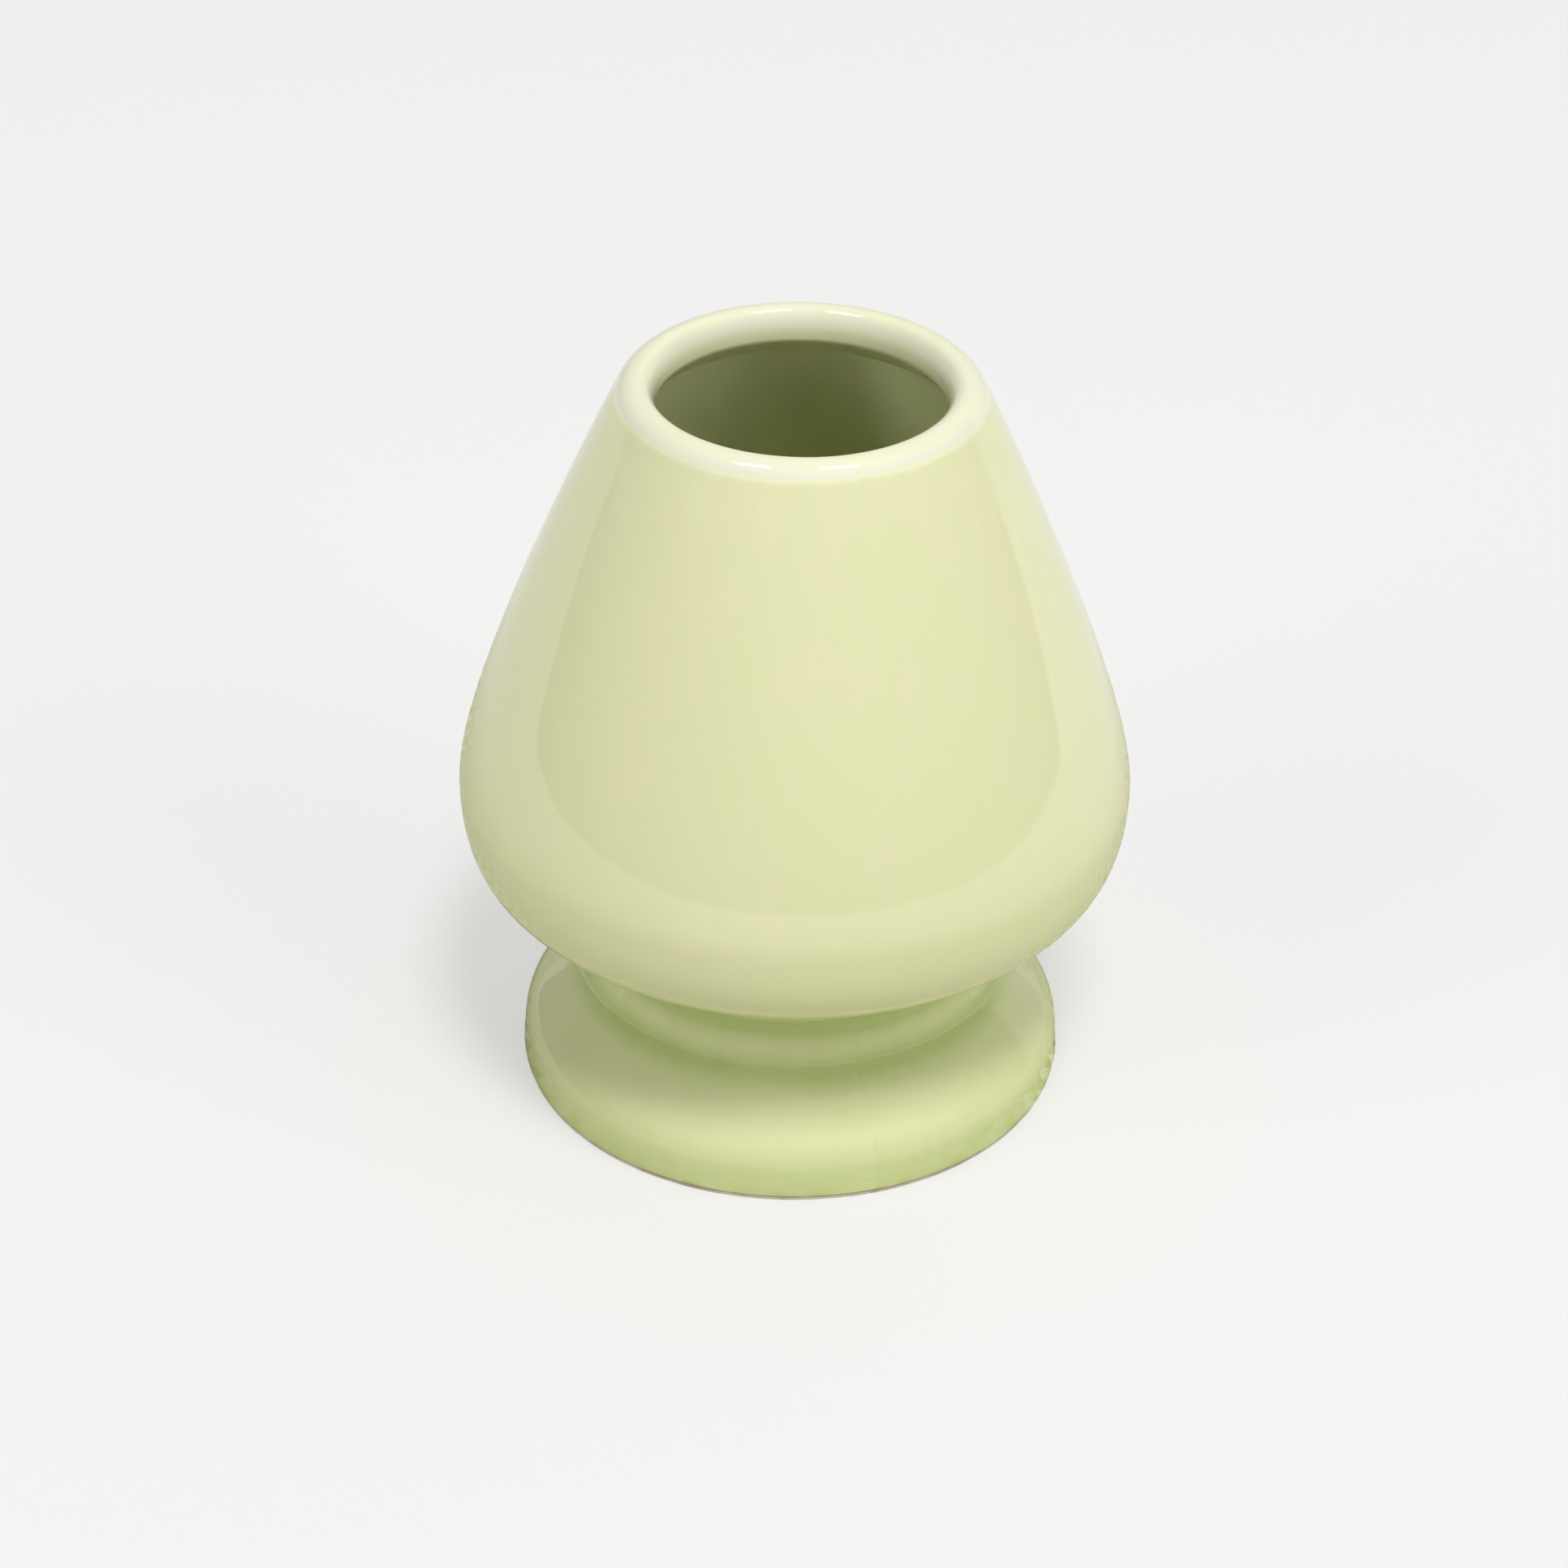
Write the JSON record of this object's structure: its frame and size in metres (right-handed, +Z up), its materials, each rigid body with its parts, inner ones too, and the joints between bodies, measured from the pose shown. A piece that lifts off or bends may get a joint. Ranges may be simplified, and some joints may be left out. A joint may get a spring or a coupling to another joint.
{
  "type": "tea whisk holder",
  "caption": "Hollow pear-shaped ceramic holder with a rounded mouth, waisted foot and drain hole, which dries a bamboo tea whisk in shape.",
  "frame": {"origin": "centre of the foot ring, on the surface that the holder stands on", "axes": "+Z up along the axis of the bulb, towards the mouth; the holder is round, so X and Y are free, with -Y at the front"},
  "size_m": [0.0602, 0.0602, 0.0691],
  "materials": {
    "bare_clay": "unglazed fired clay, fine and sandy, bare only at the foot ring",
    "celadon_glaze": "gloss pale green glaze, creamier where it thins on edges and greener where it pools"
  },
  "bodies": {
    "root": {"ceramic_body": "bare_clay", "glaze_coat": "celadon_glaze"}
  },
  "joints": []
}
